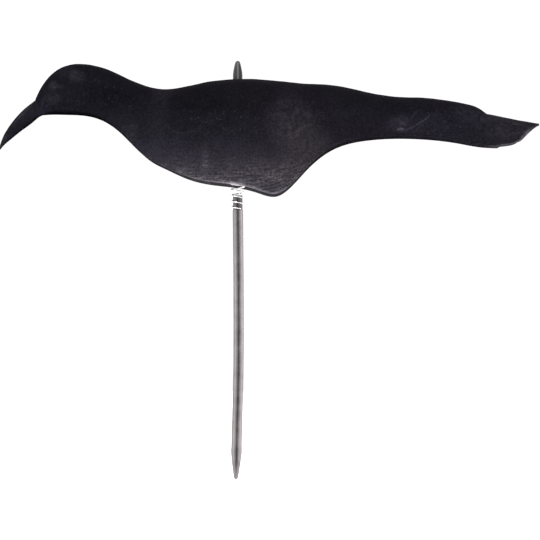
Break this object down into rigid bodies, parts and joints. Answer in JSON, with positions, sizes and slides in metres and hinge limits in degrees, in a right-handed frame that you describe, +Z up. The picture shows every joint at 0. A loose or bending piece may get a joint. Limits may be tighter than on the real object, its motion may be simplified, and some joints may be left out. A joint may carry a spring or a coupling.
{
  "type": "crow decoy",
  "caption": "Life-size flocked half-shell crow decoy, open underneath, carried by a pin and coil spring on a pointed ground stake.",
  "frame": {"origin": "on the stake's axis at the ground line, 110 mm above the stake's tip", "axes": "+Z up along the stake, +X towards the tail, +Y to the bird's right side"},
  "size_m": [0.4516, 0.0976, 0.3498],
  "materials": {
    "flock": "short black flocking on thin moulded plastic, satin bare plastic on the beak",
    "pin_plastic": "moulded, slightly scuffed",
    "spring_steel": "bright zinc-plated wire",
    "stake_plastic": "moulded, satin"
  },
  "bodies": {
    "root": {"crow_shell": "flock", "top_pin": "pin_plastic", "spring": "spring_steel", "stake": "stake_plastic"}
  },
  "joints": []
}
